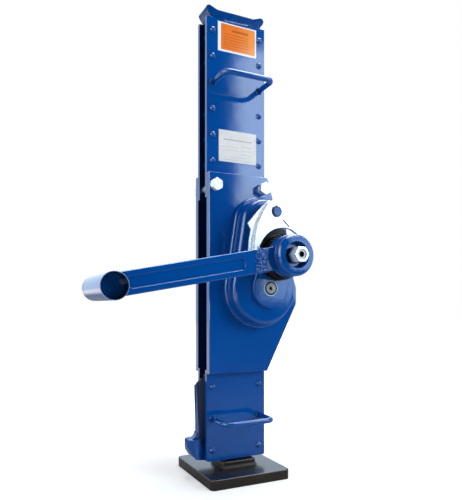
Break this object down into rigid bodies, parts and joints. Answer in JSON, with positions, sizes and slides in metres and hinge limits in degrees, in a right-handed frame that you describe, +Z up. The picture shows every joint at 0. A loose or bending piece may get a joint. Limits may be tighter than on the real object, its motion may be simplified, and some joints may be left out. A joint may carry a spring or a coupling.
{
  "type": "rack and pinion jack",
  "caption": "Upright steel rack jack: a casing with a load head and a low side claw climbs a fixed toothed rack when a geared hand crank is turned.",
  "frame": {"origin": "centre of the foot plate's underside, on the ground", "axes": "+Z up along the rack, +X to the right seen from the crank side, -Y towards the operator at the crank"},
  "size_m": [0.3534, 0.27, 0.722],
  "materials": {
    "black_steel": "semi-gloss black paint",
    "rack_steel": "dark machined and greased",
    "blue_paint": "gloss paint",
    "bright_steel": "machined",
    "bronze": "plain bearing bronze",
    "zinc": "bright zinc plated",
    "orange_film": "printed film",
    "plate_white": "coated sheet",
    "friction": "brake lining"
  },
  "bodies": {
    "rack_foot": {"base_plate": "black_steel", "foot_boss": "black_steel", "boss_weld": "black_steel", "rack": "rack_steel", "foot_bolts": "black_steel"},
    "housing": {"upper_plate_front": "blue_paint", "upper_plate_rear": "blue_paint", "lower_plate_front": "blue_paint", "lower_plate_rear": "blue_paint", "upper_rail_left": "blue_paint", "upper_rail_right": "blue_paint", "lower_rail_right": "blue_paint", "gear_rail_left": "blue_paint", "rack_guide_back": "bright_steel", "rack_guide_front": "bright_steel", "foot_guide_back": "bright_steel", "foot_guide_front": "bright_steel", "gear_plate_front": "blue_paint", "gear_plate_rear": "blue_paint", "gear_case_wall": "blue_paint", "gear_cover": "blue_paint", "bearing_plate": "blue_paint", "drive_bushes": "bronze", "crank_bushes": "bronze", "crank_bush_front": "bronze", "head": "blue_paint", "head_welds": "blue_paint", "claw": "blue_paint", "rivets_upper": "blue_paint", "rivets_lower": "blue_paint", "case_bolts": "zinc", "case_washers": "zinc", "case_nuts": "zinc", "carry_handle_upper": "blue_paint", "carry_handle_lower": "blue_paint", "handle_welds": "blue_paint", "pawl_boss": "blue_paint", "pawl_pin": "blue_paint", "pawl_clip": "black_steel", "label_panel": "orange_film", "nameplate": "plate_white", "nameplate_nails": "zinc"},
    "drive": {"drive_shaft": "bright_steel", "drive_gear": "rack_steel", "drive_key": "bright_steel", "drive_clip": "black_steel"},
    "crank": {"crank_shaft": "bright_steel", "ratchet_wheel": "black_steel", "friction_discs": "friction", "crank_clip": "black_steel", "crank_hub": "blue_paint", "crank_eye": "blue_paint", "crank_arm": "blue_paint", "grip_rod": "bright_steel"},
    "grip": {"grip_tube": "blue_paint", "grip_bushes": "bronze", "grip_plug": "blue_paint"},
    "pawl": {"pawl_plate": "zinc", "pawl_rear_plate": "zinc"}
  },
  "joints": [
    {"name": "crank_turn", "type": "hinge", "parent": "housing", "child": "crank", "pos_m": [0.05, 0, 0.336], "axis": [0, 1, 0], "range_deg": [0, 8370]},
    {"name": "housing_lift", "type": "slide", "parent": "rack_foot", "child": "housing", "axis": [0, 0, 1], "range_m": [0, 0.35062]},
    {"name": "drive_turn", "type": "hinge", "parent": "housing", "child": "drive", "pos_m": [0.0385, 0, 0.2894], "axis": [0, 1, 0], "range_deg": [-1674.1, 0]},
    {"name": "grip_spin", "type": "hinge", "parent": "crank", "child": "grip", "pos_m": [-0.23365, -0.15, 0.28445], "axis": [0, 1, 0], "continuous": true},
    {"name": "pawl_swing", "type": "hinge", "parent": "housing", "child": "pawl", "pos_m": [0.037, -0.073, 0.4025], "axis": [0, 1, 0], "range_deg": [-8, 2.6], "stiffness_Nm_per_rad": 3}
  ],
  "couplings": [
    {"joint": "housing_lift", "follows": "crank_turn", "m_per_rad": 0.0024},
    {"joint": "drive_turn", "follows": "crank_turn", "ratio": -0.2}
  ]
}
